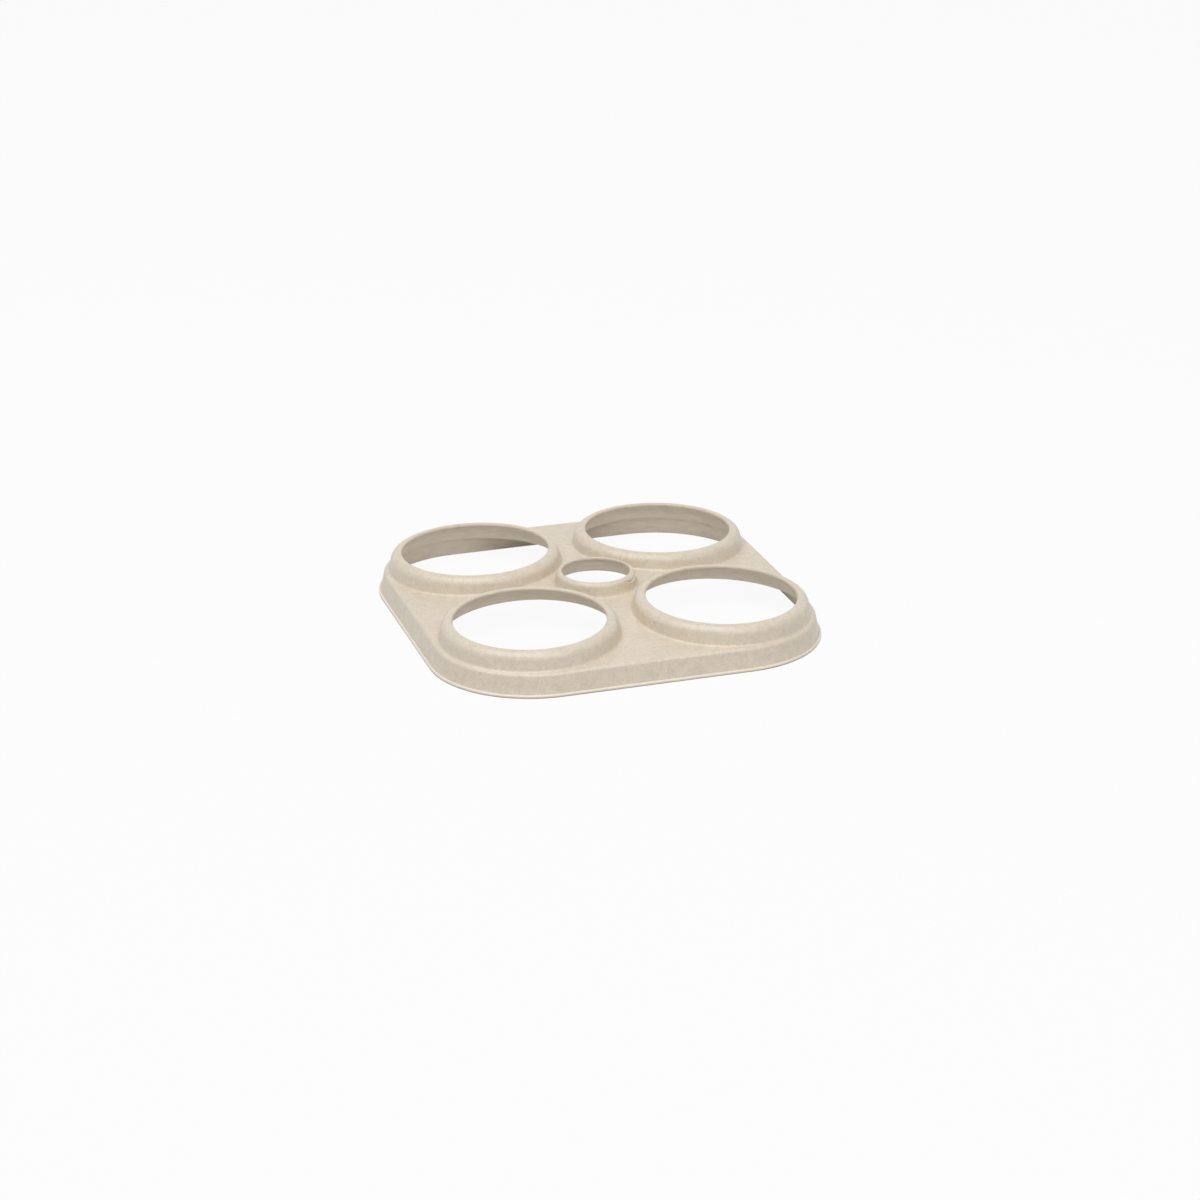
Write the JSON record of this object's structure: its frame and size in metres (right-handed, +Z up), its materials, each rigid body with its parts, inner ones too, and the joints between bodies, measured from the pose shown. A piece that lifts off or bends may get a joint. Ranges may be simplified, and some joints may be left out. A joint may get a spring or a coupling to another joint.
{
  "type": "can carrier ring",
  "caption": "Moulded fibre carrier that grips drinks cans by their necks in round raised rings, with a finger hole in the middle.",
  "frame": {"origin": "centre of the square outline, on the floor that the lip stands on", "axes": "+X to the right along the front edge, +Y to the back, +Z up along the finger hole"},
  "size_m": [0.138, 0.138, 0.0152],
  "materials": {
    "moulded_fibre": "matte"
  },
  "bodies": {
    "root": {"carrier_ring": "moulded_fibre"}
  },
  "joints": []
}
